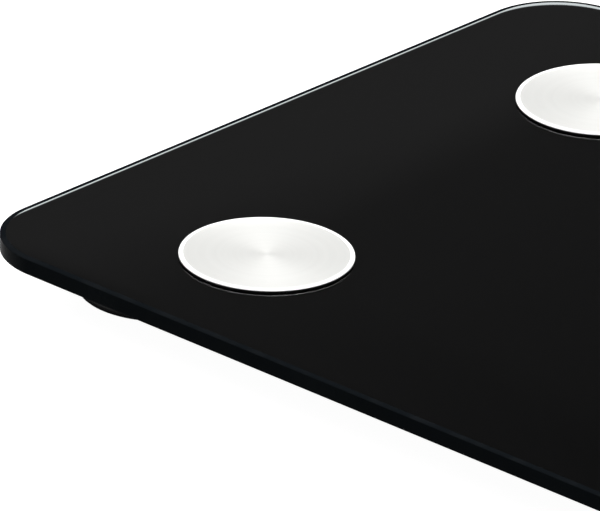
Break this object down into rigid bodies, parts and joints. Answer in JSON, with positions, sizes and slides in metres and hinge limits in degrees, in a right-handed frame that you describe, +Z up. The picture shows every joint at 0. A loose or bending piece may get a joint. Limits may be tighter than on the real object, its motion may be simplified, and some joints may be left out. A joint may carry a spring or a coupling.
{
  "type": "digital bathroom scale",
  "caption": "Flat glass platform on sprung corner feet, with round metal electrodes on top and a battery and display housing underneath.",
  "frame": {"origin": "on the floor under the middle of the platform", "axes": "+X is the right of a user standing on the scale, +Y points to the display (toe) side, +Z is up"},
  "size_m": [0.38, 0.3, 0.0242],
  "materials": {
    "glass": "polished, black print on the underside",
    "spun_steel": "turned, concentric",
    "plated_steel": "nickel plated",
    "cell_steel": "satin",
    "black_plastic": "fine texture",
    "white_plastic": "satin",
    "rubber": "matt",
    "board_green": "solder mask",
    "display_grey": "polished",
    "battery_jacket": "printed jacket",
    "cable_jacket": "satin",
    "lead_jacket": "satin"
  },
  "bodies": {
    "platform": {"glass_platform": "glass", "electrode_heel_left": "spun_steel", "electrode_stud_heel_left": "plated_steel", "electrode_terminal_heel_left": "plated_steel", "electrode_lead_heel_left": "lead_jacket", "foot_bracket_heel_left": "black_plastic", "load_cell_heel_left": "cell_steel", "load_cell_cable_heel_left": "cable_jacket", "housing_screw_heel_left": "plated_steel", "electrode_heel_right": "spun_steel", "electrode_stud_heel_right": "plated_steel", "electrode_terminal_heel_right": "plated_steel", "electrode_lead_heel_right": "lead_jacket", "foot_bracket_heel_right": "black_plastic", "load_cell_heel_right": "cell_steel", "load_cell_cable_heel_right": "cable_jacket", "housing_screw_heel_right": "plated_steel", "electrode_toe_left": "spun_steel", "electrode_stud_toe_left": "plated_steel", "electrode_terminal_toe_left": "plated_steel", "electrode_lead_toe_left": "lead_jacket", "foot_bracket_toe_left": "black_plastic", "load_cell_toe_left": "cell_steel", "load_cell_cable_toe_left": "cable_jacket", "housing_screw_toe_left": "plated_steel", "electrode_toe_right": "spun_steel", "electrode_stud_toe_right": "plated_steel", "electrode_terminal_toe_right": "plated_steel", "electrode_lead_toe_right": "lead_jacket", "foot_bracket_toe_right": "black_plastic", "load_cell_toe_right": "cell_steel", "load_cell_cable_toe_right": "cable_jacket", "housing_screw_toe_right": "plated_steel", "housing_tray": "black_plastic", "housing_cover": "black_plastic", "battery_cell_1_1": "battery_jacket", "battery_cell_1_2": "battery_jacket", "battery_spring_1": "plated_steel", "battery_cell_2_1": "battery_jacket", "battery_cell_2_2": "battery_jacket", "battery_spring_2": "plated_steel", "battery_contact_positive": "plated_steel", "battery_contact_negative": "plated_steel", "battery_contact_link": "plated_steel", "circuit_board": "board_green", "controller_chip": "black_plastic", "display_panel": "display_grey", "display_holder": "white_plastic", "unit_switch": "plated_steel"},
    "foot_heel_left": {"foot_cup_heel_left": "black_plastic", "foot_pad_heel_left": "rubber"},
    "foot_heel_right": {"foot_cup_heel_right": "black_plastic", "foot_pad_heel_right": "rubber"},
    "foot_toe_left": {"foot_cup_toe_left": "black_plastic", "foot_pad_toe_left": "rubber"},
    "foot_toe_right": {"foot_cup_toe_right": "black_plastic", "foot_pad_toe_right": "rubber"},
    "battery_door": {"battery_door": "black_plastic"},
    "unit_button": {"unit_button": "white_plastic"}
  },
  "joints": [
    {"name": "foot_press_heel_left", "type": "slide", "parent": "platform", "child": "foot_heel_left", "axis": [0, 0, 1], "range_m": [0, 0.0006], "stiffness_N_per_m": 1500, "springref_m": -0.005},
    {"name": "foot_press_heel_right", "type": "slide", "parent": "platform", "child": "foot_heel_right", "axis": [0, 0, 1], "range_m": [0, 0.0006], "stiffness_N_per_m": 1500, "springref_m": -0.005},
    {"name": "foot_press_toe_left", "type": "slide", "parent": "platform", "child": "foot_toe_left", "axis": [0, 0, 1], "range_m": [0, 0.0006], "stiffness_N_per_m": 1500, "springref_m": -0.005},
    {"name": "foot_press_toe_right", "type": "slide", "parent": "platform", "child": "foot_toe_right", "axis": [0, 0, 1], "range_m": [0, 0.0006], "stiffness_N_per_m": 1500, "springref_m": -0.005},
    {"name": "battery_door_slide", "type": "slide", "parent": "platform", "child": "battery_door", "axis": [0, -1, 0], "range_m": [0, 0.03]},
    {"name": "unit_button_press", "type": "slide", "parent": "platform", "child": "unit_button", "axis": [0, 0, 1], "range_m": [0, 0.0006], "stiffness_N_per_m": 100, "springref_m": -0.0005}
  ]
}
